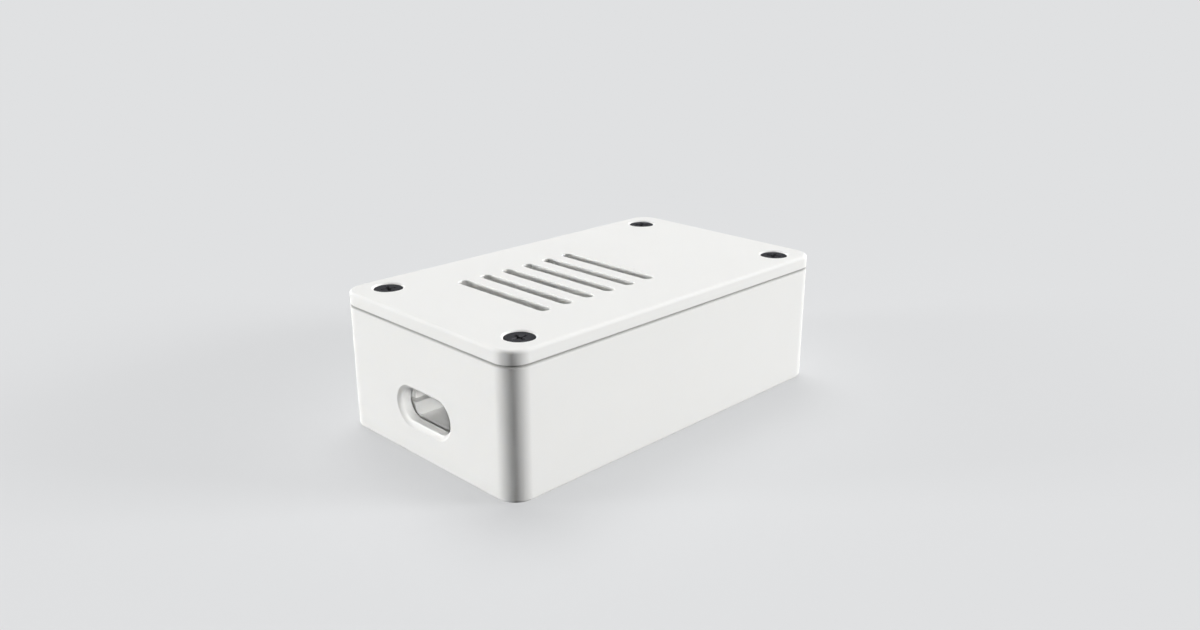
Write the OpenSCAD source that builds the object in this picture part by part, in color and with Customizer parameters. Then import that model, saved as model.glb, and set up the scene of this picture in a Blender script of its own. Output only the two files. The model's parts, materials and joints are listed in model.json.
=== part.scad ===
// Small electronics enclosure: a base and a screw-down lid, for a narrow board with a flat oval cable socket.
// Millimetres. Origin under the middle of the base, X along the length, the cable port at the -X end, Z up.

/* [Case] */
// Length over the two end walls
case_length = 60; // [50:1:120]
// Width over the two long walls
case_width = 35; // [32:1:80]
// Height from the underside to the top of the lid
case_height = 19.5; // [16:0.5:40]
// Radius of the upright corners
corner_radius = 3; // [2.5:0.25:5]
// Round on the foot edge and on the lid's rim
edge_round = 0.5; // [0.3:0.1:1]
// Thickness of the upright walls
wall = 1.8; // [1.2:0.1:2.2]
// Thickness of the floor
floor_t = 1.6; // [1.2:0.1:3]
// Round where the floor meets the walls
floor_round = 0.6; // [0.2:0.1:1]

/* [Lid] */
// Thickness of the lid plate
lid_t = 2; // [1.6:0.1:4]
// Depth of the locating lip under the lid
lip_depth = 1.6; // [1:0.1:3]
// Thickness of the locating lip
lip_t = 1.2; // [0.8:0.1:2]
// Clearance between the lip and what it drops into
lip_gap = 0.15; // [0.1:0.05:0.4]
// Small chamfer on both edges of the seam
seam_break = 0.2; // [0.1:0.05:0.4]

/* [Vents] */
// Number of slots
vent_count = 6; // [2:1:6]
// Width of a slot
vent_w = 1.75; // [1:0.05:2.5]
// Length of a slot over its round ends
vent_l = 17.75; // [8:0.25:20]
// Distance from one slot to the next
vent_pitch = 3.87; // [3.5:0.01:4.2]
// Distance from the port end to the middle of the first slot
vent_start = 13.6; // [11:0.1:16]

/* [Cable port] */
// Width of the opening inside the wall
port_w = 10.2; // [8:0.1:14]
// Height of the opening inside the wall
port_h = 4.6; // [4.2:0.1:6]
// Chamfer round the mouth
port_chamfer = 0.6; // [0.2:0.1:0.8]
// Height of the socket's middle above the top of the board
socket_rise = 1.65; // [1.5:0.05:2.5]

/* [Board rails] */
// Width of the board that drops between the rails
board_w = 21; // [16:0.5:21.5]
// Thickness of the board
board_t = 1.6; // [0.8:0.1:2]
// Clearance on each side of the board
board_gap = 0.3; // [0.1:0.05:0.6]
// Height of the ledge above the floor
ledge_h = 2; // [1.5:0.1:3]
// Width of the ledge in front of the guide
ledge_w = 1.3; // [0.8:0.1:2]
// Thickness of the guide that stands on the ledge
guide_t = 1.4; // [0.8:0.1:1.8]
// Height of the guide above the ledge
guide_h = 3; // [2:0.1:5]
// Distance from each end of the case to the end of the ledge
rail_inset = 5.4; // [4:0.1:12]
// Distance from the end of the ledge to the end of the guide
guide_setback = 1.05; // [0.5:0.05:3]

/* [Fixings] */
// Distance from the end faces to the screws
screw_inset_x = 4.9; // [4.6:0.1:6]
// Distance from the long faces to the screws
screw_inset_y = 4; // [3.8:0.1:5]
// Thread diameter of the screws
screw_d = 2; // [1.6:0.1:2.2]
// Length of a screw over its head
screw_l = 6; // [5:0.5:10]
// Diameter of the flat head
head_d = 4; // [3.4:0.1:4.1]
// Length of the cross recess in the head
drive_l = 2; // [1.6:0.1:2.2]
// Width of the cross recess
drive_w = 0.5; // [0.3:0.05:0.6]
// Depth of the cross recess
drive_depth = 0.8; // [0.5:0.05:0.9]
// Diameter of the countersink at the lid's top
sink_d = 4.4; // [4.2:0.1:5]
// Play round the screw in the lid
screw_play = 0.2; // [0.1:0.05:0.3]
// Outside diameter of a threaded insert
insert_d = 3.2; // [3:0.1:3.6]
// Length of a threaded insert
insert_l = 4; // [3:0.5:5]
// Height of the plain groove between an insert's two knurled bands
groove_h = 0.5; // [0.3:0.1:0.8]
// Depth of that groove
groove_depth = 0.25; // [0.15:0.05:0.3]
// Height of the taper that leads an insert into its post
lead_h = 0.6; // [0.4:0.1:0.8]
// How far that taper goes in
lead_in = 0.25; // [0.15:0.05:0.3]
// Plastic round an insert
post_wall = 0.9; // [0.7:0.1:1.2]

/* [Hidden] */
$fn = 96;
// Overshoot of a cut past the face that it goes through
over = 1;
shell_colour = [0.94, 0.94, 0.93];
screw_colour = [0.10, 0.10, 0.11];
brass_colour = [0.80, 0.62, 0.30];

base_h = case_height - lid_t;
inner_length = case_length - 2 * wall;
inner_width = case_width - 2 * wall;
inner_radius = corner_radius - wall;
// The floor's round is limited by the corner that it runs into
inner_round = min(floor_round, 0.8 * inner_radius);

// The board's top face sets the height of the port
ledge_top = floor_t + ledge_h;
port_z = ledge_top + board_t + socket_rise;
guide_y = board_w / 2 + board_gap;
ledge_y = guide_y - ledge_w;
rail_length = case_length - 2 * rail_inset;
guide_length = rail_length - 2 * guide_setback;

screw_x = case_length / 2 - screw_inset_x;
screw_y = case_width / 2 - screw_inset_y;
post_r = insert_d / 2 + post_wall;
// A right-angled countersink narrows by as much as it deepens
sink_r = sink_d / 2;
head_r = head_d / 2;
shank_r = screw_d / 2;
head_drop = sink_r - head_r;
head_top = case_height - head_drop;
screw_tip = head_top - screw_l;
insert_bottom = base_h - insert_l;
// Free depth under the screw's tip
tip_room = 0.8;
bore_bottom = min(screw_tip, insert_bottom) - tip_room;
tip_bevel = 0.3;
// Turning room between the screw's thread and the insert
thread_gap = 0.05;

// The groove and the taper leave the rest of an insert's length to its two knurled bands
band_h = (insert_l - groove_h - lead_h) / 2;

// Places its child at the four screws
module at_screws() {
    for (side_x = [-1, 1], side_y = [-1, 1])
        translate([side_x * screw_x, side_y * screw_y, 0]) children();
}

// Half section of a block, from its middle out to half_width: rounded foot edge, chamfered top edge
module edge_section(half_width, height, foot_round, top_break) {
    difference() {
        square([half_width, height]);
        translate([half_width - foot_round, 0]) difference() {
            translate([0, -over]) square([foot_round + over, foot_round + over]);
            translate([0, foot_round]) circle(r = foot_round);
        }
        if (top_break > 0)
            polygon([
                [half_width - top_break - over, height + over],
                [half_width + over, height - top_break - over],
                [half_width + over, height + over],
            ]);
    }
}

// Straight length of a block's outside, with its edge section on both sides
module edge_run(run, width, height, foot_round, top_break) {
    rotate([90, 0, 90]) translate([0, 0, -run / 2]) linear_extrude(run) {
        edge_section(width / 2, height, foot_round, top_break);
        mirror([1, 0]) edge_section(width / 2, height, foot_round, top_break);
    }
}

// Block with upright round corners, a rounded foot edge and a chamfered top edge
module rounded_block(length, width, height, radius, foot_round, top_break = 0) {
    edge_run(length - 2 * radius, width, height, foot_round, top_break);
    rotate(90) edge_run(width - 2 * radius, length, height, foot_round, top_break);
    for (side_x = [0, 1], side_y = [0, 1])
        mirror([side_x, 0, 0]) mirror([0, side_y, 0])
            translate([length / 2 - radius, width / 2 - radius, 0])
                rotate_extrude(angle = 90) edge_section(radius, height, foot_round, top_break);
}

// Slot outline with round ends, length along Y
module slot_outline(length, width) {
    straight = length - width;
    square([width, straight], center = true);
    for (end = [-1, 1]) translate([0, end * straight / 2]) circle(d = width);
}

// Corner post, from the corner of the case to the round end that holds an insert
module corner_post() {
    translate([screw_x, screw_y, 0]) {
        cylinder(r = post_r, h = base_h);
        translate([0, -post_r, 0]) cube([screw_inset_x, post_r + screw_inset_y, base_h]);
        translate([-post_r, 0, 0]) cube([post_r + screw_inset_x, screw_inset_y, base_h]);
    }
}

// Ledge that carries one edge of the board, with the guide that keeps the board in line
module board_rail() {
    rail_w = ledge_w + guide_t;
    translate([-rail_length / 2, ledge_y, 0]) cube([rail_length, rail_w, ledge_top]);
    translate([-guide_length / 2, guide_y, 0]) cube([guide_length, guide_t, ledge_top + guide_h]);
}

// Room inside the base: the hollow less the posts and rails that stand in it
module base_room() {
    difference() {
        translate([0, 0, floor_t])
            rounded_block(inner_length, inner_width, base_h - floor_t + over, inner_radius, inner_round);
        for (side_x = [0, 1], side_y = [0, 1])
            mirror([side_x, 0, 0]) mirror([0, side_y, 0]) corner_post();
        for (side_y = [0, 1]) mirror([0, side_y, 0]) board_rail();
    }
}

// Cable port through the -X wall, with its chamfered mouth
module port_cut() {
    port_r = port_h / 2;
    straight = port_w - port_h;
    mouth_r = port_r + port_chamfer + over;
    mouth_depth = port_chamfer + over;
    translate([-case_length / 2, 0, port_z]) rotate([0, 90, 0]) {
        translate([0, 0, -over]) linear_extrude(wall + 2 * over) slot_outline(port_w, port_h);
        for (end = [-1, 1])
            translate([0, end * straight / 2, -over]) cylinder(r1 = mouth_r, r2 = port_r, h = mouth_depth);
        translate([0, straight / 2, -over]) rotate([90, 0, 0]) linear_extrude(straight)
            polygon([[-mouth_r, 0], [mouth_r, 0], [port_r, mouth_depth], [-port_r, mouth_depth]]);
    }
}

// Blind bore in a post: the insert's seat and the room below it for the screw's tip
module insert_bore() {
    translate([0, 0, insert_bottom]) cylinder(d = insert_d, h = insert_l + over);
    translate([0, 0, bore_bottom]) cylinder(r = shank_r + screw_play, h = base_h - bore_bottom);
}

module base() {
    color(shell_colour) difference() {
        rounded_block(case_length, case_width, base_h, corner_radius, edge_round, seam_break);
        base_room();
        port_cut();
        at_screws() insert_bore();
    }
}

// Ribs under the lid that drop inside the base, between the posts
module locating_lip() {
    long_run = 2 * (screw_x - post_r - lip_gap);
    end_run = 2 * (screw_y - post_r - lip_gap);
    long_y = inner_width / 2 - lip_gap - lip_t;
    end_x = inner_length / 2 - lip_gap - lip_t;
    for (side = [0, 1]) {
        mirror([0, side, 0]) translate([-long_run / 2, long_y, base_h - lip_depth])
            cube([long_run, lip_t, lip_depth + lid_t / 2]);
        mirror([side, 0, 0]) translate([end_x, -end_run / 2, base_h - lip_depth])
            cube([lip_t, end_run, lip_depth + lid_t / 2]);
    }
}

// Clearance hole and countersink for one screw, down from the lid's top
module screw_hole() {
    hole_r = shank_r + screw_play;
    translate([0, 0, base_h - over]) cylinder(r = hole_r, h = lid_t + 2 * over);
    translate([0, 0, case_height - sink_r + hole_r])
        cylinder(r1 = hole_r, r2 = sink_r + over, h = sink_r - hole_r + over);
}

module lid() {
    color(shell_colour) difference() {
        union() {
            translate([0, 0, case_height]) mirror([0, 0, 1])
                rounded_block(case_length, case_width, lid_t, corner_radius, edge_round, seam_break);
            locating_lip();
        }
        for (slot = [0 : vent_count - 1])
            translate([vent_start + slot * vent_pitch - case_length / 2, 0, base_h - over])
                linear_extrude(lid_t + 2 * over) slot_outline(vent_l, vent_w);
        at_screws() screw_hole();
    }
}

// Flat-head screw with a cross recess, its thread left plain
module lid_screw() {
    cone_h = head_r - shank_r;
    difference() {
        rotate_extrude() polygon([
            [0, screw_tip],
            [shank_r - tip_bevel, screw_tip],
            [shank_r, screw_tip + tip_bevel],
            [shank_r, head_top - cone_h],
            [head_r, head_top],
            [0, head_top],
        ]);
        for (turn = [0, 90]) rotate(turn)
            translate([-drive_l / 2, -drive_w / 2, head_top - drive_depth])
                cube([drive_l, drive_w, drive_depth + over]);
    }
}

module lid_screws() {
    color(screw_colour) at_screws() lid_screw();
}

// Insert pressed hot into its post, flush with the post's top
module threaded_insert() {
    bore_r = shank_r + thread_gap;
    outer_r = insert_d / 2;
    top = base_h;
    groove_top = top - band_h;
    groove_bottom = insert_bottom + lead_h + band_h;
    rotate_extrude() polygon([
        [bore_r, insert_bottom],
        [outer_r - lead_in, insert_bottom],
        [outer_r, insert_bottom + lead_h],
        [outer_r, groove_bottom],
        [outer_r - groove_depth, groove_bottom],
        [outer_r - groove_depth, groove_top],
        [outer_r, groove_top],
        [outer_r, top],
        [bore_r, top],
    ]);
}

module threaded_inserts() {
    color(brass_colour) at_screws() threaded_insert();
}

base();
lid();
lid_screws();
threaded_inserts();
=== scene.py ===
# %% [markdown]
# A small electronics enclosure
#
# The construction is finished before this lesson starts: a base, a lid, four screws and four threaded
# inserts, packed at their real size in metres. The lesson dresses them for the camera. The mouldings get
# soft edges and a finish, and the fasteners get threads, knurls and a drive recess. A floor, soft studio
# light and a camera come last.

# %% Load the frame and keep its box
import json
import math

import bmesh
import bpy
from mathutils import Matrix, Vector


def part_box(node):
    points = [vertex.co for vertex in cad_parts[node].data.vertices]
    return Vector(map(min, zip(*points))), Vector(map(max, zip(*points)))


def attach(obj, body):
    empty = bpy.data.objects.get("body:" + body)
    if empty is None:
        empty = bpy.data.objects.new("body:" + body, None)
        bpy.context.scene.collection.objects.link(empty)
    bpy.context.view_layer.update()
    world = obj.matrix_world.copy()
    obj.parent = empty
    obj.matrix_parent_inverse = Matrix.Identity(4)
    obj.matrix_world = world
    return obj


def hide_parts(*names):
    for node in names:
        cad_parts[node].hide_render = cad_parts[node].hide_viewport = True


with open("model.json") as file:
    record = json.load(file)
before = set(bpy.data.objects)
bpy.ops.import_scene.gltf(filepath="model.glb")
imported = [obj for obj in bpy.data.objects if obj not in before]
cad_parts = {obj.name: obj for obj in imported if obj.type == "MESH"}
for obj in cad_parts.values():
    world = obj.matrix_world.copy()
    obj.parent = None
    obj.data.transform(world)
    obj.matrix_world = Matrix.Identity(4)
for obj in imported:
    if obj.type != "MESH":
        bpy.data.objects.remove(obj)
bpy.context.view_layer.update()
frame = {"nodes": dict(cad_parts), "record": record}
scene = bpy.context.scene
MM = 0.001
print("nodes:", ", ".join(frame["nodes"]))

# %% [markdown]
# Measure before making
#
# The fasteners made below have to sit in holes that the case already has. Their places could be typed in
# again, which works until someone changes the case. Measuring the nodes is safer. One fastener stands in
# each corner, so the points of a node with X and Y above zero all belong to the same one.

# %% Measure one fastener of each kind
def in_mm(length):
    """A length in millimetres, to print."""
    return round(length / MM, 4)


def one_of_four(node_name):
    """Lowest and highest corner of the fastener that stands where X and Y are positive."""
    points = [vertex.co for vertex in frame["nodes"][node_name].data.vertices]
    mine = [point for point in points if point.x > 0 and point.y > 0]
    low = Vector([min(point[axis] for point in mine) for axis in range(3)])
    high = Vector([max(point[axis] for point in mine) for axis in range(3)])
    return low, high


screw_low, screw_high = one_of_four("lid_screws")
insert_low, insert_high = one_of_four("threaded_inserts")
screw_middle = (screw_low + screw_high) / 2
head_radius = (screw_high.x - screw_low.x) / 2
insert_radius = (insert_high.x - insert_low.x) / 2
seam_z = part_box("base")[1].z
print("screws stand", [in_mm(value) for value in screw_middle.xy], "mm from the middle")
print("head radius", in_mm(head_radius), "mm, insert radius", in_mm(insert_radius), "mm")
print("the lid meets the base", in_mm(seam_z), "mm up")

# %% [markdown]
# Helpers for node trees
#
# A material and a geometry tree are both nodes with links between them. Written out in full, each node
# takes four or five lines. The first helper makes a node, sets its properties, and fills its inputs: a
# socket is linked, and anything else is a plain value. The other two do arithmetic and fade one range into
# another. The recipes below then read from top to bottom, like a list of steps.

# %% Node helpers
def add_node(tree, kind, inputs=None, **settings):
    """Make one node. An input given as a socket is linked, any other value is set."""
    node = tree.nodes.new(kind)
    for name, value in settings.items():
        setattr(node, name, value)
    for name, value in (inputs or {}).items():
        if isinstance(value, bpy.types.NodeSocket):
            tree.links.new(value, node.inputs[name])
        else:
            node.inputs[name].default_value = value
    return node


def maths(tree, operation, *values):
    """One step of arithmetic, as a socket that the next step can use."""
    step = add_node(tree, "ShaderNodeMath", dict(enumerate(values)), operation=operation)
    return step.outputs["Value"]


def ramp(tree, value, span, result):
    """Turn a value that runs along a span into one that runs along the result, with soft ends."""
    inputs = {"Value": value, "From Min": span[0], "From Max": span[1]}
    inputs |= {"To Min": result[0], "To Max": result[1]}
    return add_node(tree, "ShaderNodeMapRange", inputs, interpolation_type="SMOOTHSTEP").outputs["Result"]


print("node helpers ready")

# %% [markdown]
# Masks for wear and for painted shade
#
# Two things tell the eye how big an object is: edges that are handled, and corners that are not. The Bevel
# node looks a short way round each point and gives a rounded normal. Where that differs from the true
# normal, there is an edge. Ambient Occlusion does the opposite job and finds tight corners. Painting these
# masks by hand would also work, but a mask made by nodes still fits after the shape changes.

# %% Edge and corner masks
EDGE_TO_FACE = (0.80, 0.99)
TIGHT_TO_OPEN = (0.2, 0.8)
FADE_OUT = (1.0, 0.0)


def edge_mask(tree, reach):
    """1 on edges, 0 on faces, found within a short reach."""
    rounded = add_node(tree, "ShaderNodeBevel", {"Radius": reach}, samples=6)
    true_side = add_node(tree, "ShaderNodeNewGeometry")
    pair = {0: rounded.outputs["Normal"], 1: true_side.outputs["Normal"]}
    match = add_node(tree, "ShaderNodeVectorMath", pair, operation="DOT_PRODUCT")
    return ramp(tree, match.outputs["Value"], EDGE_TO_FACE, FADE_OUT)


# On the plastic this mask carries painted shade in tight corners; on the brass it dulls the grooves.
def corner_mask(tree, reach):
    """1 in tight corners of the piece itself, 0 on open faces."""
    around = add_node(tree, "ShaderNodeAmbientOcclusion", {"Distance": reach}, samples=8, only_local=True)
    return ramp(tree, around.outputs["AO"], TIGHT_TO_OPEN, FADE_OUT)


least_bend = math.degrees(math.acos(EDGE_TO_FACE[1]))
print("masks ready: an edge turns the normal by", round(least_bend), "degrees or more")

# %% [markdown]
# One shader for every finish
#
# Plastic, blackened steel and brass look different because of their colour, their roughness and the way
# they mirror. The Principled shader has an input for each of these, so every finish here is a recipe that
# works those inputs out. Image textures would need unwrapping, while noise on Object coordinates keeps its
# real size on every piece.

# %% Material helpers
def new_material(name):
    """An empty node material with its output, ready for a recipe."""
    material = bpy.data.materials.new(name)
    material.use_nodes = True
    tree = material.node_tree
    tree.nodes.clear()
    output = add_node(tree, "ShaderNodeOutputMaterial")
    return material, tree, output


def finish_from(name, recipe):
    """A material with one Principled shader, whose inputs a recipe works out."""
    material, tree, output = new_material(name)
    surface = add_node(tree, "ShaderNodeBsdfPrincipled", recipe(tree))
    tree.links.new(surface.outputs["BSDF"], output.inputs["Surface"])
    print("made", name, "with", len(tree.nodes), "nodes")
    return material


def tinted(tree, share, first, second):
    """Mix two colours by a share between 0 and 1."""
    inputs = {"Factor": share, "A": first, "B": second}
    return add_node(tree, "ShaderNodeMix", inputs, data_type="RGBA").outputs["Result"]


def speckle(tree, size, detail=2.0, roughness=0.5):
    """Noise of a real size on the piece's Object coordinates."""
    place = add_node(tree, "ShaderNodeTexCoord").outputs["Object"]
    inputs = {"Vector": place, "Scale": 1 / size, "Detail": detail, "Roughness": roughness}
    return add_node(tree, "ShaderNodeTexNoise", inputs).outputs["Fac"]


def fine_relief(tree, heights, depth, strength):
    """A normal that follows heights too small to model."""
    inputs = {"Height": heights, "Distance": depth, "Strength": strength}
    return add_node(tree, "ShaderNodeBump", inputs).outputs["Normal"]


print("material helpers ready")

# %% [markdown]
# Matt moulded plastic
#
# The shell is off-white plastic from a mould with a fine spark-eroded texture. Up close that is a field of
# shallow pits, a tenth of a millimetre wide, and they break up the gloss until hardly any is left. Light
# also goes a little way into white plastic and comes out again beside the place where it went in, which
# softens small edges. Subsurface scattering does that here. The tone drifts by a hair, handled edges are a
# touch less rough, and the colour is painted darker in tight corners and along the seam, as painted shade.

# %% Painted shade on the plastic
# Painted shade: how far and how strongly the colour darkens along the seam and in tight corners.
SHADED_CORNER_REACH = 0.6 * MM
CORNER_SHADE_SHARE = 0.3
SEAM_REACH = 0.3 * MM
SEAM_SHADE_SHARE = 0.75


def painted_seam_and_corner_shade(tree):
    """The share of painted shade at a point, along the seam and in tight corners."""
    place = add_node(tree, "ShaderNodeTexCoord").outputs["Object"]
    height = add_node(tree, "ShaderNodeSeparateXYZ", {"Vector": place}).outputs["Z"]
    from_seam = maths(tree, "ABSOLUTE", maths(tree, "SUBTRACT", height, seam_z))
    # Painted shade along the seam, found by height, and in tight corners, found by ambient occlusion.
    on_seam = ramp(tree, from_seam, (0.0, SEAM_REACH), (SEAM_SHADE_SHARE, 0.0))
    in_corners = maths(tree, "MULTIPLY", corner_mask(tree, SHADED_CORNER_REACH), CORNER_SHADE_SHARE)
    return maths(tree, "MAXIMUM", on_seam, in_corners)


print("painted shade reaches", in_mm(SEAM_REACH), "mm from the seam")

# %% Plastic material
PIT_SIZE = 0.11 * MM
PIT_DEPTH = 0.014 * MM
PIT_HEIGHTS = (0.2, 0.8)
PIT_ROUGHNESS = (0.80, 0.94)
FLOW_SIZE = 14 * MM
HANDLED_EDGE = 0.2 * MM
HANDLED_POLISH = 0.05
LIGHT_REACH = 0.3 * MM
LIGHT_TONE = (0.89, 0.89, 0.873, 1)
DARK_TONE = (0.868, 0.868, 0.852, 1)
# The darker colour that stands in for shade in corners and along the seam.
PAINTED_SHADE_TONE = (0.30, 0.295, 0.285, 1)


def moulded_plastic(tree):
    """Off-white plastic with pits, a drift of tone, polished edges and painted shade in corners and the
    seam.
    """
    pits = speckle(tree, PIT_SIZE, detail=3.0, roughness=0.55)
    clean_tone = tinted(tree, speckle(tree, FLOW_SIZE), DARK_TONE, LIGHT_TONE)
    polish = maths(tree, "MULTIPLY", edge_mask(tree, HANDLED_EDGE), HANDLED_POLISH)
    return {
        # Base Color darkens towards the shade tone along the seam and in tight corners: painted shade.
        "Base Color": tinted(tree, painted_seam_and_corner_shade(tree), clean_tone, PAINTED_SHADE_TONE),
        "Roughness": maths(tree, "SUBTRACT", ramp(tree, pits, PIT_HEIGHTS, PIT_ROUGHNESS), polish),
        "Normal": fine_relief(tree, pits, PIT_DEPTH, strength=0.9),
        "IOR": 1.5,
        "Specular IOR Level": 0.1,
        "Subsurface Weight": 0.25,
        "Subsurface Radius": (1.0, 0.97, 0.92),
        "Subsurface Scale": LIGHT_REACH,
    }


shell_plastic = finish_from("shell_plastic", moulded_plastic)

# %% [markdown]
# Soft edges on the mouldings
#
# A moulding has no knife edges. Every edge has a round of about a tenth of a millimetre, and that round is
# what catches the light. The base and lid could be built again with rounds, but they already have the
# right shape. So a copy of each is merged into one skin, its flat triangles are joined, and a Bevel
# modifier rounds every edge that is sharper than 30 degrees. The curved corners stay as they are, because
# their steps are far below that angle. Weighted normals then keep the big faces flat.

# %% One skin from loose triangles
WELD = 0.002 * MM
FLAT = math.radians(0.6)


def merged_skin(node_name):
    """A welded copy of a node's mesh with its flat faces joined."""
    mesh = frame["nodes"][node_name].data.copy()
    work = bmesh.new()
    work.from_mesh(mesh)
    bmesh.ops.remove_doubles(work, verts=work.verts, dist=WELD)
    bmesh.ops.dissolve_limit(work, angle_limit=FLAT, verts=work.verts, edges=work.edges)
    for face in work.faces:
        face.smooth = True
    mesh.clear_geometry()
    work.to_mesh(mesh)
    work.free()
    print(node_name, "is one skin of", len(mesh.polygons), "faces")
    return mesh


print("points closer than", in_mm(WELD), "mm become one")

# %% Mouldings with soft edges
EDGE_ROUND = 0.09 * MM
EDGE_STEPS = 3
SHARP = math.radians(30)
LARGE_FACES_FIRST = 100


def as_plain_mesh(piece, name):
    """Evaluate an object's modifiers into a mesh of its own, and drop the modifiers."""
    depsgraph = bpy.context.evaluated_depsgraph_get()
    mesh = bpy.data.meshes.new_from_object(piece.evaluated_get(depsgraph), depsgraph=depsgraph)
    mesh.name = name
    piece.modifiers.clear()
    piece.data = mesh
    return mesh


def joins_the_part(piece, node_name):
    """A finished piece rides on the one body and stands for its node, which is hidden."""
    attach(piece, "root")
    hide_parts(node_name)
    print(piece.name, "has", len(piece.data.polygons), "faces and stands for", node_name)


def soft_moulding(name, node_name, material):
    """A copy of a moulded node with every sharp edge rounded."""
    piece = bpy.data.objects.new(name, merged_skin(node_name))
    scene.collection.objects.link(piece)
    edge = piece.modifiers.new("soft edge", "BEVEL")
    edge.width = EDGE_ROUND
    edge.segments = EDGE_STEPS
    edge.limit_method = "ANGLE"
    edge.angle_limit = SHARP
    edge.use_clamp_overlap = False
    flats = piece.modifiers.new("keep flats flat", "WEIGHTED_NORMAL")
    flats.weight = LARGE_FACES_FIRST
    mesh = as_plain_mesh(piece, name)
    mesh.materials.clear()
    mesh.materials.append(material)
    joins_the_part(piece, node_name)


soft_moulding("base_shell", "base", shell_plastic)
soft_moulding("lid_plate", "lid", shell_plastic)

# %% [markdown]
# Draw half a fastener
#
# Screws and threaded inserts are turned parts: half of the section, spun round an axis, gives the body.
# The half section here is a row of points, one after the other along its outline. Each point also carries
# three numbers that the turning uses: how deep the thread is there, how deep the knurl is, and how far the
# point is twisted round. A Screw modifier could spin the outline, but it knows nothing of threads that
# fade out or of knurls.

# %% Half sections
THREAD_PITCH = 0.4 * MM
ROWS_PER_TURN = 8
FEWEST_ROWS = 2
CARRIED = ("thread", "knurl", "twist")


def stretch(section, start, end, steps, thread=(0, 0), knurl=0, twist=(0, 0)):
    """Add a straight stretch to a half section. Thread and twist run from one value to another."""
    first = (*start, thread[0], knurl, twist[0])
    last = (*end, thread[1], knurl, twist[1])
    for step in range(steps + 1):
        share = step / steps
        row = tuple(a + (b - a) * share for a, b in zip(first, last))
        if not section or section[-1] != row:
            section.append(row)


def thread_rows(length):
    """Rows that a threaded stretch needs, so that the thread stays round."""
    return max(FEWEST_ROWS, round(length / THREAD_PITCH * ROWS_PER_TURN))


def section_object(name, section):
    """Keep a half section as points: radius on X, height on Z, and the three numbers as attributes."""
    mesh = bpy.data.meshes.new(name)
    mesh.from_pydata([(radius, 0, height) for radius, height, *_ in section], [], [])
    for column, label in enumerate(CARRIED, start=2):
        layer = mesh.attributes.new(label, "FLOAT", "POINT")
        layer.data.foreach_set("value", [row[column] for row in section])
    piece = bpy.data.objects.new(name, mesh)
    scene.collection.objects.link(piece)
    print(name, "is turned from", len(section), "points")
    return piece


print("a thread climbs", in_mm(THREAD_PITCH), "mm a turn, in", ROWS_PER_TURN, "rows")

# %% [markdown]
# Turn it with Geometry Nodes
#
# The tree takes a flat grid with one row for each point of the section and one column for each step round.
# Every grid point looks up its row and is moved to that radius and height at its own angle. The thread is
# a wave that climbs one pitch in each turn, and it cuts into the radius. The knurl is a row of teeth that
# counts the columns. Merging the points that coincide closes the seam and the poles. The sizes are inputs
# with names, so the same steps turn the screws and the inserts.

# %% A tree with named sizes
TURNING_SIZES = {"Columns": "Int", "Thread pitch": "Float", "Thread depth": "Float"}
TURNING_SIZES |= {"Teeth": "Int", "Tooth depth": "Float"}


def new_tree(name, sizes):
    """An empty geometry tree with named inputs. Gives the tree, its input sockets and its output node."""
    tree = bpy.data.node_groups.new(name, "GeometryNodeTree")
    tree.is_modifier = True
    for label, kind in {"Section": "Geometry", **sizes}.items():
        tree.interface.new_socket(label, in_out="INPUT", socket_type="NodeSocket" + kind)
    tree.interface.new_socket("Geometry", in_out="OUTPUT", socket_type="NodeSocketGeometry")
    given = add_node(tree, "NodeGroupInput").outputs
    return tree, given, add_node(tree, "NodeGroupOutput")


print("turning asks for", ", ".join(TURNING_SIZES))

# %% The grid and what each row carries
def section_grid(tree, given):
    """A grid with a row for each point. Gives its mesh, each point's share of a turn, and its row."""
    section = {"Geometry": given["Section"]}
    points = add_node(tree, "GeometryNodeAttributeDomainSize", section, component="MESH")
    rows = points.outputs["Point Count"]
    columns = maths(tree, "ADD", given["Columns"], 1)
    size = {"Size X": 1.0, "Size Y": 1.0, "Vertices X": columns, "Vertices Y": rows}
    grid = add_node(tree, "GeometryNodeMeshGrid", size)
    spot = add_node(tree, "ShaderNodeSeparateXYZ", {"Vector": grid.outputs["UV Map"]}).outputs
    last_row = maths(tree, "SUBTRACT", rows, 1)
    row = maths(tree, "ROUND", maths(tree, "MULTIPLY", spot["Y"], last_row))
    return grid.outputs["Mesh"], spot["X"], row


def looked_up(tree, given, row, kind, value):
    """A value of the section, read at a row."""
    inputs = {"Geometry": given["Section"], "Value": value, "Index": row}
    return add_node(tree, "GeometryNodeSampleIndex", inputs, data_type=kind).outputs["Value"]


def carried(tree, given, row, label):
    """One of the three numbers that a section's point carries."""
    named = add_node(tree, "GeometryNodeInputNamedAttribute", {"Name": label}, data_type="FLOAT")
    return looked_up(tree, given, row, "FLOAT", named.outputs["Attribute"])


print("a section's points carry", ", ".join(CARRIED))

# %% Thread, knurl and turning
FULL_TURN = 2 * math.pi
FLANKS_PER_TOOTH = 2
CLOSING_DISTANCE = 0.0005 * MM


def position(tree):
    """Where a point is."""
    return add_node(tree, "GeometryNodeInputPosition").outputs["Position"]


def product(tree, value, *factors):
    """Several values multiplied together."""
    for factor in factors:
        value = maths(tree, "MULTIPLY", value, factor)
    return value


def thread_cut(tree, given, height, angle, share):
    """How far a wave that climbs one pitch in each turn cuts into the radius."""
    climb = product(tree, maths(tree, "DIVIDE", height, given["Thread pitch"]), FULL_TURN)
    wave = maths(tree, "COSINE", maths(tree, "SUBTRACT", climb, angle))
    valley = maths(tree, "MULTIPLY_ADD", wave, -0.5, 0.5)
    return product(tree, valley, share, given["Thread depth"])


def tooth_cut(tree, given, turn_share, share):
    """How far a row of teeth, counted round the body, cuts into the radius."""
    flanks = product(tree, turn_share, given["Teeth"], FLANKS_PER_TOOTH)
    valley = maths(tree, "PINGPONG", flanks, 1)
    return product(tree, valley, share, given["Tooth depth"])


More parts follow.
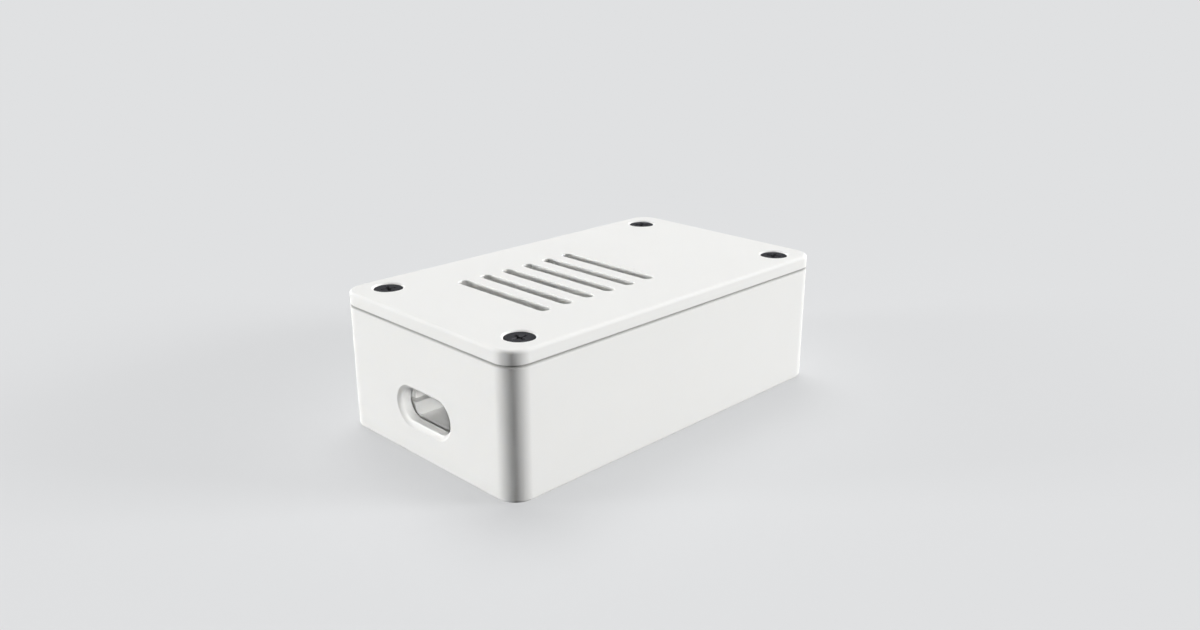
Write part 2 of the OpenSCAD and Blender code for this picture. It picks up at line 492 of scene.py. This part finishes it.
def turned(tree, given):
    """Spin the section round Z, with its thread, knurl and twist."""
    grid, turn_share, row = section_grid(tree, given)
    where = looked_up(tree, given, row, "FLOAT_VECTOR", position(tree))
    outline = add_node(tree, "ShaderNodeSeparateXYZ", {"Vector": where}).outputs
    height = outline["Z"]
    thread, knurl, twist = [carried(tree, given, row, label) for label in CARRIED]
    angle = maths(tree, "MULTIPLY_ADD", turn_share, FULL_TURN, twist)
    radius = maths(tree, "SUBTRACT", outline["X"], thread_cut(tree, given, height, angle, thread))
    radius = maths(tree, "SUBTRACT", radius, tooth_cut(tree, given, turn_share, knurl))
    round_place = {
        "X": product(tree, radius, maths(tree, "COSINE", angle)),
        "Y": product(tree, radius, maths(tree, "SINE", angle)),
        "Z": height,
    }
    place = add_node(tree, "ShaderNodeCombineXYZ", round_place).outputs["Vector"]
    body = add_node(tree, "GeometryNodeSetPosition", {"Geometry": grid, "Position": place})
    closing = {"Geometry": body.outputs["Geometry"], "Distance": CLOSING_DISTANCE}
    return add_node(tree, "GeometryNodeMergeByDistance", closing).outputs["Geometry"]


print("points closer than", in_mm(CLOSING_DISTANCE), "mm are merged")

# %% [markdown]
# Four of each
#
# Four fasteners stand on the corners of a rectangle, so a grid of two by two points carries them. A loop
# could copy one body four times, but the grid keeps the spacing as an input of the tree. Nobody stops a
# screw at the same angle twice, so each is turned by a random amount with a fixed seed. The inserts use
# the same seed, and so every thread still meets its partner. Before it is placed, each body stores where
# its points are, because turning marks have to circle its own axis. Instances are light, but the export
# drops them, so they are made real at the end.

# %% The placing steps
PLACING_SIZES = {"Spacing X": "Float", "Spacing Y": "Float", "Turn seed": "Int", "Finish": "Material"}


def placed_on_corners(tree, given, body, output):
    """Store the body's own coordinates, put it on four points, make it real and give it its finish."""
    label = {"Geometry": body, "Name": "own_place", "Value": position(tree)}
    kept = add_node(tree, "GeometryNodeStoreNamedAttribute", label, data_type="FLOAT_VECTOR", domain="POINT")
    spacing = {"Size X": given["Spacing X"], "Size Y": given["Spacing Y"], "Vertices X": 2, "Vertices Y": 2}
    corners = add_node(tree, "GeometryNodeMeshGrid", spacing)
    chance = {"Min": 0.0, "Max": FULL_TURN, "Seed": given["Turn seed"]}
    turn = add_node(tree, "FunctionNodeRandomValue", chance, data_type="FLOAT")
    upright = add_node(tree, "ShaderNodeCombineXYZ", {"Z": turn.outputs["Value"]})
    crowd = {
        "Points": corners.outputs["Mesh"],
        "Instance": kept.outputs["Geometry"],
        "Rotation": upright.outputs["Vector"],
    }
    standing = add_node(tree, "GeometryNodeInstanceOnPoints", crowd)
    real = add_node(tree, "GeometryNodeRealizeInstances", {"Geometry": standing.outputs["Instances"]})
    coat = {"Geometry": real.outputs["Geometry"], "Material": given["Finish"]}
    finished = add_node(tree, "GeometryNodeSetMaterial", coat)
    tree.links.new(finished.outputs["Geometry"], output.inputs["Geometry"])
    print(tree.name, "tree has", len(tree.nodes), "nodes")


FOUR_CORNERS = {"Spacing X": 2 * screw_middle.x, "Spacing Y": 2 * screw_middle.y, "Turn seed": 7}
print("corners", in_mm(2 * screw_middle.x), "by", in_mm(2 * screw_middle.y), "mm apart")

# %% From tree to finished fastener
def run_tree(piece, tree, sizes):
    """Put a tree on a piece and set its inputs by identifier, before anything is evaluated."""
    modifier = piece.modifiers.new(tree.name, "NODES")
    modifier.node_group = tree
    for socket in tree.interface.items_tree:
        if socket.in_out == "INPUT" and socket.name in sizes:
            modifier[socket.identifier] = sizes[socket.name]


def finished_fastener(piece, node_name):
    """Plain mesh, smooth faces with crisp edges, and its place in the part. Prints the volume, which is
    below zero if the faces point inwards."""
    mesh = as_plain_mesh(piece, piece.name)
    mesh.shade_smooth()
    mesh.set_sharp_from_angle(angle=SHARP)
    work = bmesh.new()
    work.from_mesh(mesh)
    print(piece.name, "holds", round(work.calc_volume(signed=True) / MM**3, 2), "cubic mm")
    work.free()
    joins_the_part(piece, node_name)


print("an edge sharper than", round(math.degrees(SHARP)), "degrees stays crisp")

# %% [markdown]
# Blackened steel
#
# Small screws are often blackened in hot salts, which leaves a thin dark skin on the steel. A plain black
# would do from far away, but the skin follows the marks of the turning tool, so the head shows fine rings.
# It wears through first on the edges of the recess, where the driver bites. Bare steel mirrors almost
# everything at a low angle, and the skin does not: a dark Specular Tint keeps the heads black from every
# side. The rings read the coordinates that the body stored, so that they circle each screw and not the
# case.

# %% Turning rings
RING_SIZE = 0.05 * MM
RING_DEPTH = 0.004 * MM
RING_HEIGHTS = (0.25, 0.75)


def turning_rings(tree):
    """Fine uneven rings round the body's own axis."""
    own = add_node(tree, "ShaderNodeAttribute", attribute_name="own_place").outputs["Vector"]
    spot = add_node(tree, "ShaderNodeSeparateXYZ", {"Vector": own}).outputs
    square = maths(tree, "MULTIPLY_ADD", spot["X"], spot["X"], product(tree, spot["Y"], spot["Y"]))
    rings = {"W": maths(tree, "SQRT", square), "Scale": 1 / RING_SIZE, "Detail": 2.0}
    return add_node(tree, "ShaderNodeTexNoise", rings, noise_dimensions="1D").outputs["Fac"]


print("turning rings are about", in_mm(RING_SIZE), "mm apart")

# %% Screw finish
CLOUD_SIZE = 0.4 * MM
BITTEN_EDGE = 0.05 * MM
BITTEN_CLOUDS = (0.45, 0.75)
BITTEN_SHARE = 0.5
BLACK_SKIN = ((0.030, 0.030, 0.033, 1), (0.048, 0.049, 0.053, 1))
BARE_STEEL = (0.30, 0.30, 0.31, 1)
SKIN_MIRROR = (0.45, 0.45, 0.46, 1)
SKIN_ROUGHNESS = (0.52, 0.68)


def blackened_steel(tree):
    """A cloudy black skin on turned steel, worn through here and there on the edges."""
    cloud = speckle(tree, CLOUD_SIZE, detail=4.0)
    rings = turning_rings(tree)
    wear = ramp(tree, cloud, BITTEN_CLOUDS, (0.0, BITTEN_SHARE))
    bitten = product(tree, edge_mask(tree, BITTEN_EDGE), wear)
    return {
        "Base Color": tinted(tree, bitten, tinted(tree, cloud, *BLACK_SKIN), BARE_STEEL),
        "Metallic": 1.0,
        "Specular Tint": SKIN_MIRROR,
        "Roughness": ramp(tree, rings, RING_HEIGHTS, SKIN_ROUGHNESS),
        "Normal": fine_relief(tree, rings, RING_DEPTH, strength=0.25),
    }


screw_steel = finish_from("screw_steel", blackened_steel)

# %% [markdown]
# Lid screws
#
# These are flat-head screws, two millimetres across the thread, that lie just below the lid's face. A
# ready model of a screw would have to be fitted to its hole, while a section worked out from the measured
# node fits from the start. It runs from the tip, up the thread and the cone of the head, to the middle of
# the head's face. The thread fades in at the tip and fades out below the head, as a rolled thread does.

# %% Screw section
THREAD_RADIUS = 1.0 * MM
THREAD_DEPTH = 0.24 * MM
TIP_BEVEL = 0.3 * MM
RIM = 0.05 * MM


def screw_section():
    """Half section of a screw, from the middle of its tip to the middle of its face."""
    foot = screw_low.z
    top = screw_high.z
    neck_z = top - (head_radius - THREAD_RADIUS)
    thread_start = foot + TIP_BEVEL
    thread_end = neck_z - THREAD_PITCH
    rows = thread_rows(thread_end - thread_start)
    tip = (THREAD_RADIUS - TIP_BEVEL, foot)
    full_thread = (THREAD_RADIUS, thread_start)
    last_thread = (THREAD_RADIUS, thread_end)
    neck = (THREAD_RADIUS, neck_z)
    rim_low = (head_radius - RIM, top - RIM)
    rim_high = (head_radius - RIM, top - RIM / 2)
    face_edge = (head_radius - 2 * RIM, top)
    section = []
    stretch(section, (0, foot), tip, steps=3)
    stretch(section, tip, full_thread, steps=3, thread=(0, 1))
    stretch(section, full_thread, last_thread, steps=rows, thread=(1, 1))
    stretch(section, last_thread, neck, steps=ROWS_PER_TURN, thread=(1, 0))
    stretch(section, neck, rim_low, steps=4)
    stretch(section, rim_low, rim_high, steps=1)
    stretch(section, rim_high, face_edge, steps=2)
    stretch(section, face_edge, (0, top), steps=4)
    return section


lid_screws = section_object("lid_screws_turned", screw_section())

# %% [markdown]
# Cross recess
#
# The recess in the head narrows as it goes down, so a driver centres itself. It could be drawn into the
# mesh face by face, but Boolean nodes cut it more simply: two tapered bars and a cone are taken out of the
# turned body, one after the other. A cut goes wrong where the numbers are tiny or where two cutters share
# a face, so the body is a thousand times larger while it is cut, and one bar is a hair deeper. Only the
# mouth of the recess is marked for a Bevel modifier. A bevel by angle would also find every crest of the
# thread.

# %% Cutters for the recess
RECESS_SIZES = {"Head top": "Float", "Recess depth": "Float"}
RECESS_SIZES |= {"Recess length": "Float", "Recess width": "Float"}
RECESS_FOOT = 0.5
RECESS_ROUND = 0.78
CUT_OVER = 0.2 * MM


def recess_floor(tree, given, depth):
    """Height of the recess's floor, counted down from the head's face."""
    return maths(tree, "SUBTRACT", given["Head top"], depth)


def recess_bar(tree, given, depth, turn):
    """One tapered bar of the cross, with its full size at the head's face."""
    tall = maths(tree, "ADD", depth, CUT_OVER)
    block = add_node(tree, "ShaderNodeCombineXYZ", {"X": 1.0, "Y": 1.0, "Z": tall}).outputs["Vector"]
    cube = add_node(tree, "GeometryNodeMeshCube", {"Size": block})
    spot = add_node(tree, "ShaderNodeSeparateXYZ", {"Vector": position(tree)}).outputs
    from_foot = maths(tree, "MULTIPLY_ADD", tall, 0.5, spot["Z"])
    share = maths(tree, "DIVIDE", from_foot, depth)
    taper = maths(tree, "MULTIPLY_ADD", share, 1 - RECESS_FOOT, RECESS_FOOT)
    shaped = {
        "X": product(tree, spot["X"], given["Recess length"], taper),
        "Y": product(tree, spot["Y"], given["Recess width"], taper),
        "Z": maths(tree, "ADD", recess_floor(tree, given, depth), from_foot),
    }
    place = add_node(tree, "ShaderNodeCombineXYZ", shaped).outputs["Vector"]
    bar = add_node(tree, "GeometryNodeSetPosition", {"Geometry": cube.outputs["Mesh"], "Position": place})
    turning = {"Geometry": bar.outputs["Geometry"], "Rotation": (0, 0, turn)}
    return add_node(tree, "GeometryNodeTransform", turning).outputs["Geometry"]


def recess_cone(tree, given, depth):
    """The round middle of the cross, a little wider than the bars."""
    wide = product(tree, given["Recess width"], RECESS_ROUND)
    sizes = {"Vertices": 24, "Radius Top": wide, "Radius Bottom": product(tree, wide, RECESS_FOOT)}
    sizes["Depth"] = maths(tree, "ADD", depth, CUT_OVER)
    cone = add_node(tree, "GeometryNodeMeshCone", sizes).outputs["Mesh"]
    lift = add_node(tree, "ShaderNodeCombineXYZ", {"Z": recess_floor(tree, given, depth)}).outputs["Vector"]
    raised = {"Geometry": cone, "Translation": lift}
    return add_node(tree, "GeometryNodeTransform", raised).outputs["Geometry"]


print("the recess asks for", ", ".join(RECESS_SIZES))

# %% Screw tree
BAR_STEP = 0.004 * MM
CONE_STEP = 0.2 * MM
MOUTH_EDGE = 0.01 * MM


def scaled(tree, body, factor):
    """The same body, made larger or smaller about the origin."""
    size = {"Geometry": body, "Scale": (factor, factor, factor)}
    return add_node(tree, "GeometryNodeTransform", size).outputs["Geometry"]


def mouth_marked(tree, given, body):
    """Mark the sharp edges in the head's face for the Bevel modifier."""
    height = add_node(tree, "ShaderNodeSeparateXYZ", {"Vector": position(tree)}).outputs["Z"]
    in_face = maths(tree, "GREATER_THAN", height, maths(tree, "SUBTRACT", given["Head top"], MOUTH_EDGE))
    bend = add_node(tree, "GeometryNodeInputMeshEdgeAngle").outputs["Unsigned Angle"]
    mark = product(tree, in_face, maths(tree, "GREATER_THAN", bend, SHARP))
    label = {"Geometry": body, "Name": "bevel_weight_edge", "Value": mark}
    kept = add_node(tree, "GeometryNodeStoreNamedAttribute", label, data_type="FLOAT", domain="EDGE")
    return kept.outputs["Geometry"]


def screw_tree():
    """Turn a screw, cut its recess and place four of them."""
    tree, given, output = new_tree("cross-recess screws", {**TURNING_SIZES, **RECESS_SIZES, **PLACING_SIZES})
    body = scaled(tree, turned(tree, given), 1 / MM)
    depth = given["Recess depth"]
    cutters = (
        recess_bar(tree, given, depth, 0),
        recess_bar(tree, given, maths(tree, "ADD", depth, BAR_STEP), FULL_TURN / 4),
        recess_cone(tree, given, maths(tree, "ADD", depth, CONE_STEP)),
    )
    for cutter in cutters:
        pair = {"Mesh 1": body, "Mesh 2": scaled(tree, cutter, 1 / MM)}
        body = add_node(tree, "GeometryNodeMeshBoolean", pair, operation="DIFFERENCE").outputs["Mesh"]
    placed_on_corners(tree, given, mouth_marked(tree, given, scaled(tree, body, MM)), output)
    return tree


cross_recess_screws = screw_tree()

# %% Turn the screws
RECESS_BREAK = 0.03 * MM
RECESS_BREAK_STEPS = 2
SCREW_SIZES = {"Columns": 48, "Thread pitch": THREAD_PITCH, "Thread depth": THREAD_DEPTH, "Teeth": 0}
SCREW_SIZES |= {"Tooth depth": 0.0, "Head top": screw_high.z, "Finish": screw_steel}
SCREW_SIZES |= {"Recess length": 2.13 * MM, "Recess width": 0.5 * MM, "Recess depth": 0.8 * MM}

run_tree(lid_screws, cross_recess_screws, SCREW_SIZES | FOUR_CORNERS)
mouth = lid_screws.modifiers.new("recess mouth", "BEVEL")
mouth.limit_method = "WEIGHT"
mouth.width = RECESS_BREAK
mouth.segments = RECESS_BREAK_STEPS
finished_fastener(lid_screws, "lid_screws")

# %% [markdown]
# Brass
#
# Inserts are turned from brass bar. Fresh brass is a warm yellow that is brightest on its crests, and it
# dulls to brown in its grooves. It could be a yellow paint with gloss, but a metal has almost no colour
# besides its reflection. So the tone goes into Base Color with Metallic at one, and the grooves get a
# darker tone and a rougher skin.

# %% Insert finish
GROOVE_REACH = 0.25 * MM
BRIGHT_BRASS = ((0.74, 0.50, 0.19, 1), (0.83, 0.60, 0.26, 1))
DULL_BRASS = (0.40, 0.24, 0.09, 1)
CREST_ROUGHNESS = 0.24
GROOVE_ROUGHNESS = 0.49


def turned_brass(tree):
    """Bright turned brass that dulls in its grooves."""
    rings = turning_rings(tree)
    dull = corner_mask(tree, GROOVE_REACH)
    rougher = GROOVE_ROUGHNESS - CREST_ROUGHNESS
    return {
        "Base Color": tinted(tree, dull, tinted(tree, rings, *BRIGHT_BRASS), DULL_BRASS),
        "Metallic": 1.0,
        "Roughness": maths(tree, "MULTIPLY_ADD", dull, rougher, CREST_ROUGHNESS),
        "Normal": fine_relief(tree, rings, RING_DEPTH, strength=0.2),
    }


insert_brass = finish_from("insert_brass", turned_brass)

# %% [markdown]
# Threaded inserts
#
# An insert is pressed into its post with a hot iron, and the melted plastic flows into its knurl. Straight
# teeth would only stop it from turning. Two bands of teeth that lean opposite ways also keep it from
# pulling out, and so does the groove between them. Leaning teeth are easy here: the twist carried by each
# point of the section shears the columns, and the teeth follow them. The thread inside is the screw's own
# wave, with a little room to turn. The section goes up the bore and down the outside, and it is then
# reversed, so that the faces point outwards.

# %% Insert section
THREAD_ROOM = 0.05 * MM
GROOVE_HEIGHT = 0.5 * MM
GROOVE_DEPTH = 0.25 * MM
LEAD_HEIGHT = 0.6 * MM
LEAD_IN = 0.25 * MM
BORE_BREAK = 0.12 * MM
TOOTH_COUNT = 20
TEETH_LEANT = 1.5
LEAN = TEETH_LEANT * FULL_TURN / TOOTH_COUNT


def bore_section(section, foot, top):
    """The inside of an insert, from its lower mouth to its upper one."""
    bore = THREAD_RADIUS + THREAD_ROOM
    thread_low = foot + 2 * BORE_BREAK
    thread_high = top - 2 * BORE_BREAK
    rows = thread_rows(thread_high - thread_low)
    stretch(section, (bore + BORE_BREAK, foot), (bore, foot + BORE_BREAK), steps=1)
    stretch(section, (bore, foot + BORE_BREAK), (bore, thread_low), steps=2, thread=(0, 1))
    stretch(section, (bore, thread_low), (bore, thread_high), steps=rows, thread=(1, 1))
    stretch(section, (bore, thread_high), (bore, top - BORE_BREAK), steps=2, thread=(1, 0))
    stretch(section, (bore, top - BORE_BREAK), (bore + BORE_BREAK, top), steps=1)
    return bore + BORE_BREAK


def insert_section():
    """Half section of an insert: up the bore, and down the outside over its two knurled bands."""
    foot = insert_low.z
    top = insert_high.z
    band = (top - foot - GROOVE_HEIGHT - LEAD_HEIGHT) / 2
    lead_top = foot + LEAD_HEIGHT
    outside = insert_radius
    neck = outside - GROOVE_DEPTH
    section = []
    mouth_radius = bore_section(section, foot, top)
    stretch(section, (mouth_radius, top), (outside, top), steps=1, twist=(0, LEAN))
    stretch(section, (outside, top), (outside, top - band), steps=6, knurl=1, twist=(LEAN, 0))
    stretch(section, (neck, top - band), (neck, lead_top + band), steps=2)
    stretch(section, (outside, lead_top + band), (outside, lead_top), steps=6, knurl=1, twist=(0, LEAN))
    stretch(section, (outside - LEAD_IN, foot), (mouth_radius, foot), steps=1, twist=(LEAN, 0))
    return section[::-1]


threaded_inserts = section_object("threaded_inserts_turned", insert_section())

# %% Turn the inserts
COLUMNS_PER_TOOTH = 4
INSERT_SIZES = {"Columns": COLUMNS_PER_TOOTH * TOOTH_COUNT, "Teeth": TOOTH_COUNT, "Tooth depth": 0.14 * MM}
INSERT_SIZES |= {"Thread pitch": THREAD_PITCH, "Thread depth": THREAD_DEPTH, "Finish": insert_brass}


def insert_tree():
    """Turn an insert and place four of them."""
    tree, given, output = new_tree("knurled inserts", {**TURNING_SIZES, **PLACING_SIZES})
    placed_on_corners(tree, given, turned(tree, given), output)
    return tree


run_tree(threaded_inserts, insert_tree(), INSERT_SIZES | FOUR_CORNERS)
finished_fastener(threaded_inserts, "threaded_inserts")

# %% [markdown]
# A pale floor
#
# The picture has one even pale grey behind and below the object. A plain floor would grow darker with
# distance, so most of what the camera sees of this one is a flat tone of its own. Close to the object, a
# good third of it is a card that is lit like any card, and that share keeps the shadow. Light that bounces
# off the floor meets a darker card, as on a photographer's table, because a white one would fill the
# upright corners with light and they would no longer stand out. Seen from below, the floor is clear, and
# so it is for a ray that has just left the underside.

# %% What a floor shows
def seen_directly(tree):
    """1 for rays from the camera, from gloss and through glass, 0 for the light that surfaces gather."""
    path = add_node(tree, "ShaderNodeLightPath").outputs
    mirror = maths(tree, "MAXIMUM", path["Is Glossy Ray"], path["Is Transmission Ray"])
    return maths(tree, "MAXIMUM", path["Is Camera Ray"], mirror)


def either(tree, share, first, second):
    """Mix two shaders by a share between 0 and 1."""
    return add_node(tree, "ShaderNodeMixShader", {"Fac": share, 1: first, 2: second}).outputs["Shader"]


def length_of(tree, vector):
    """How long a vector is."""
    return add_node(tree, "ShaderNodeVectorMath", {0: vector}, operation="LENGTH").outputs["Value"]


print("floor helpers ready")

# %% Floor
BACKDROP = (0.745, 0.752, 0.761, 1)
BOUNCE_CARD = (0.12, 0.121, 0.123, 1)
FLOOR_RADIUS = 4.0
FLOOR_SIDES = 64
FLOOR_DROP = 0.02 * MM
TOUCHING = 0.1 * MM
SHADOW_FADES = (45 * MM, 130 * MM)
FLAT_SHARE = 0.62


def pale_floor(name):
    """A floor with a flat tone far away, a shadow near the object and a dark card for bounced light."""
    material, tree, output = new_material(name)
    place = add_node(tree, "ShaderNodeTexCoord").outputs["Object"]
    flat_share = ramp(tree, length_of(tree, place), SHADOW_FADES, (FLAT_SHARE, 1.0))
    lit_card = add_node(tree, "ShaderNodeBsdfDiffuse", {"Color": BACKDROP}).outputs["BSDF"]
    flat = add_node(tree, "ShaderNodeEmission", {"Color": BACKDROP}).outputs["Emission"]
    bounce = add_node(tree, "ShaderNodeBsdfDiffuse", {"Color": BOUNCE_CARD}).outputs["BSDF"]
    top_side = either(tree, seen_directly(tree), bounce, either(tree, flat_share, lit_card, flat))
    below = add_node(tree, "ShaderNodeNewGeometry").outputs["Backfacing"]
    ray_length = add_node(tree, "ShaderNodeLightPath").outputs["Ray Length"]
    unseen = maths(tree, "MAXIMUM", below, maths(tree, "LESS_THAN", ray_length, TOUCHING))
    clear = add_node(tree, "ShaderNodeBsdfTransparent").outputs["BSDF"]
    tree.links.new(either(tree, unseen, top_side, clear), output.inputs["Surface"])
    return material


floor_mesh = bpy.data.meshes.new("floor")
work = bmesh.new()
bmesh.ops.create_circle(work, cap_ends=True, segments=FLOOR_SIDES, radius=FLOOR_RADIUS)
work.to_mesh(floor_mesh)
work.free()
floor_mesh.materials.append(pale_floor("pale_floor"))
floor = bpy.data.objects.new("floor", floor_mesh)
floor.location.z = -FLOOR_DROP
scene.collection.objects.link(floor)
print("floor", round(floor.dimensions.x, 2), "m across")

# %% [markdown]
# The room's own light
#
# A white room gives a little light from everywhere, which fills the shadows. A picture of a real room
# could do that too, but its colours would tint white plastic. Straight from the camera the room has the
# floor's flat tone, so no horizon shows. Below the floor it is brighter, and only the underside sees that.

# %% Room light
ROOM_ABOVE = 0.08
ROOM_BELOW = 0.8
HORIZON = (-0.1, 0.0)
WHITE = (1, 1, 1, 1)

world = bpy.data.worlds.new("studio")
scene.world = world
world.use_nodes = True
room = world.node_tree
room.nodes.clear()
heading = add_node(room, "ShaderNodeTexCoord").outputs["Object"]
upward = add_node(room, "ShaderNodeSeparateXYZ", {"Vector": heading}).outputs["Z"]
strength = ramp(room, upward, HORIZON, (ROOM_BELOW, ROOM_ABOVE))
glow = add_node(room, "ShaderNodeBackground", {"Strength": strength, "Color": WHITE}).outputs["Background"]
backdrop = add_node(room, "ShaderNodeBackground", {"Color": BACKDROP}).outputs["Background"]
room_output = add_node(room, "ShaderNodeOutputWorld")
room.links.new(either(room, seen_directly(room), glow, backdrop), room_output.inputs["Surface"])
print("room light", ROOM_ABOVE, "above and", ROOM_BELOW, "below")

# %% [markdown]
# Softboxes
#
# Two softboxes stand low at the sides, and one stands high behind the case. Each side face gets a light of
# its own, which grazes past the upright corner that faces the camera, so that corner is a dark strip
# between two pale faces and its radius can be read. The one behind lights the lid. Because the side lamps
# are so low, little of their light falls into the vents, and their walls stay grey. One lamp by the camera
# would be simpler, but it would flatten the case to a white patch.

# %% Softboxes
MIDDLE = Vector((0, 0, 0))
SOFTBOX_AWAY = 2.0


def stand(device, place, target):
    """Put a lamp or a camera on its stand and aim it."""
    holder = bpy.data.objects.new(device.name, device)
    holder.location = place
    holder.rotation_euler = (target - place).to_track_quat("-Z", "Y").to_euler()
    scene.collection.objects.link(holder)
    print(device.name, "stands at", [round(value, 3) for value in place], "m")
    return holder


def softbox(name, heading_to, power, size):
    """A square lamp that shines on the middle of the scene from one heading."""
    lamp = bpy.data.lights.new(name, "AREA")
    lamp.shape = "SQUARE"
    lamp.size = size
    lamp.energy = power
    stand(lamp, Vector(heading_to).normalized() * SOFTBOX_AWAY, MIDDLE)


softbox("side_left", heading_to=(-0.76, 0.61, 0.10), power=42.5, size=0.4)
softbox("side_right", heading_to=(0.61, -0.67, 0.20), power=46.0, size=0.6)
softbox("behind", heading_to=(0.25, 0.33, 0.87), power=27.5, size=1.2)

# %% [markdown]
# A lamp for the port
#
# The rails inside show only through the port, and hardly any of the softboxes' light gets in there.
# Stronger softboxes would turn the walls white first. A photographer would shine a small lamp into the
# port through a stencil, so that none of its light falls on the wall around it. A lamp can have nodes too:
# the direction of each ray gives the point where it meets the end wall, and the ray is kept only if that
# point lies inside the port's mouth, which is a slot with round ends.

# %% Stencil in the shape of the port
MOUNTS = {mount["name"]: mount for mount in frame["record"]["mounts"]}
PORT_MIDDLE = Vector(MOUNTS["cable_port"]["pos_m"])
LAMP_HEADING = Vector((-0.54, -0.745, 0.39))
LAMP_AWAY = 0.2
FROM_PORT = LAMP_HEADING.normalized() * LAMP_AWAY
MOUTH_STRAIGHT = 2.8 * MM
MOUTH_ROUND = 2.7 * MM
STENCIL_BLUR = 0.7 * MM


def stencil(tree):
    """1 for rays that meet the end wall inside the port's mouth, 0 for all others."""
    ray_heading = add_node(tree, "ShaderNodeTexCoord").outputs["Normal"]
    ray = add_node(tree, "ShaderNodeSeparateXYZ", {"Vector": ray_heading}).outputs
    reach = maths(tree, "DIVIDE", -FROM_PORT.x, ray["X"])
    across = maths(tree, "ABSOLUTE", maths(tree, "MULTIPLY_ADD", ray["Y"], reach, FROM_PORT.y))
    past_straight = maths(tree, "MAXIMUM", maths(tree, "SUBTRACT", across, MOUTH_STRAIGHT), 0)
    up = maths(tree, "MULTIPLY_ADD", ray["Z"], reach, FROM_PORT.z)
    spot = add_node(tree, "ShaderNodeCombineXYZ", {"X": past_straight, "Y": up}).outputs["Vector"]
    return ramp(tree, length_of(tree, spot), (MOUTH_ROUND - STENCIL_BLUR, MOUTH_ROUND), FADE_OUT)


print("the stencil fits the mount at", [in_mm(value) for value in PORT_MIDDLE], "mm")

# %% Port lamp
LAMP_POWER = 1.25
LAMP_RADIUS = 0.5 * MM

port_lamp = bpy.data.lights.new("port_lamp", "POINT")
port_lamp.energy = LAMP_POWER
port_lamp.shadow_soft_size = LAMP_RADIUS
port_lamp.use_nodes = True
lamp_tree = port_lamp.node_tree
lamp_tree.nodes.clear()
beam = add_node(lamp_tree, "ShaderNodeEmission", {"Strength": stencil(lamp_tree)}).outputs["Emission"]
lamp_output = add_node(lamp_tree, "ShaderNodeOutputLight")
lamp_tree.links.new(beam, lamp_output.inputs["Surface"])
lamp_holder = bpy.data.objects.new("port_lamp", port_lamp)
lamp_holder.location = PORT_MIDDLE + FROM_PORT
scene.collection.objects.link(lamp_holder)
print("port lamp", in_mm(LAMP_AWAY), "mm from the port")

# %% [markdown]
# The camera
#
# The straight edges of the case in the picture were enough to find the camera that drew it: where it
# stands, which way it looks, and its lens. A long lens from far away would look calmer, but the lines of
# the case would no longer run the same way.

# %% Camera
CAMERA_PLACE = Vector((-99.0, -100.7, 61.2)) * MM
YAW = math.radians(44.98)
PITCH = math.radians(-18.96)
FOCAL_LENGTH = 31.0
SENSOR_WIDTH = 36.0
NEAREST_SEEN = 5 * MM

lens = bpy.data.cameras.new("camera")
lens.lens = FOCAL_LENGTH
lens.sensor_width = SENSOR_WIDTH
lens.clip_start = NEAREST_SEEN
view = Vector((math.cos(YAW), math.sin(YAW), math.tan(PITCH)))
scene.camera = stand(lens, CAMERA_PLACE, CAMERA_PLACE + view)
scene.view_settings.view_transform = "Standard"
print("camera", in_mm(CAMERA_PLACE.length), "mm from the middle of the foot, lens", lens.lens, "mm")
